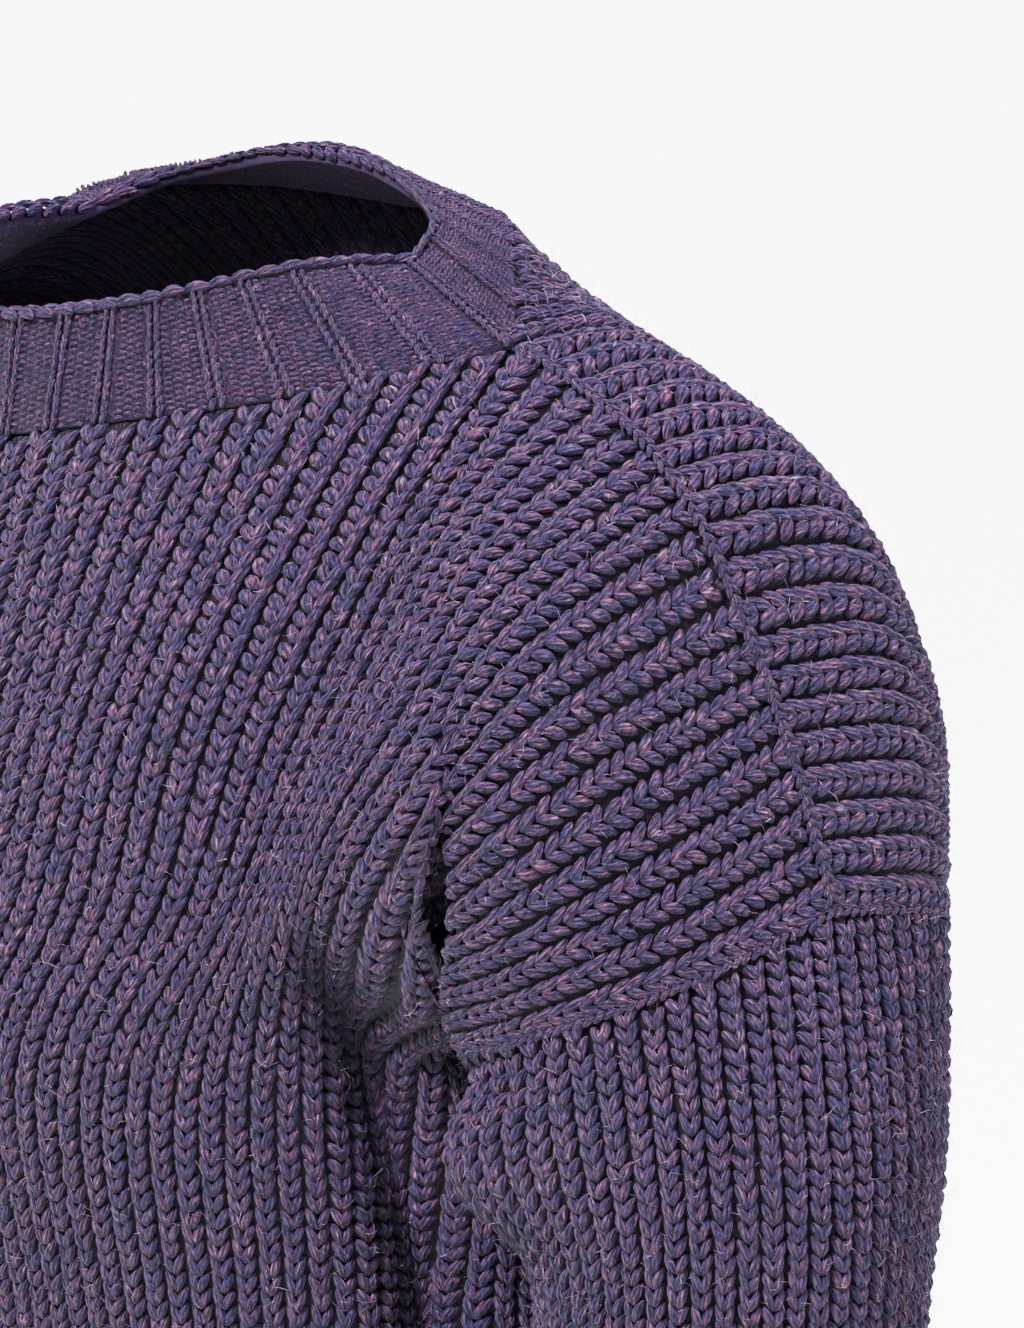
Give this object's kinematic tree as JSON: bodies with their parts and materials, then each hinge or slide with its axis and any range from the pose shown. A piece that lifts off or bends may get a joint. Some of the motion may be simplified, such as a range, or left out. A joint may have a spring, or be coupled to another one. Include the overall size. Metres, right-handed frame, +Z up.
{
  "type": "knitted sweater",
  "caption": "Fisherman's rib sweater in its worn form: dropped shoulders, long sleeves and a wide stand-up neckband.",
  "frame": {"origin": "middle of the shoulder line, level with the two corners of the neck opening, where the sweater hangs on its wearer", "axes": "+Z up the wearer's body, -Y the way the wearer faces, +X the wearer's left"},
  "size_m": [0.4984, 0.2438, 0.6102],
  "materials": {
    "wool_rib": "matt heathered wool knitted in fisherman's rib",
    "wool_band": "matt heathered wool knitted in wide flat rib"
  },
  "bodies": {
    "root": {"front": "wool_rib", "back": "wool_rib", "sleeve_left": "wool_rib", "sleeve_right": "wool_rib", "neckband": "wool_band"}
  },
  "joints": []
}
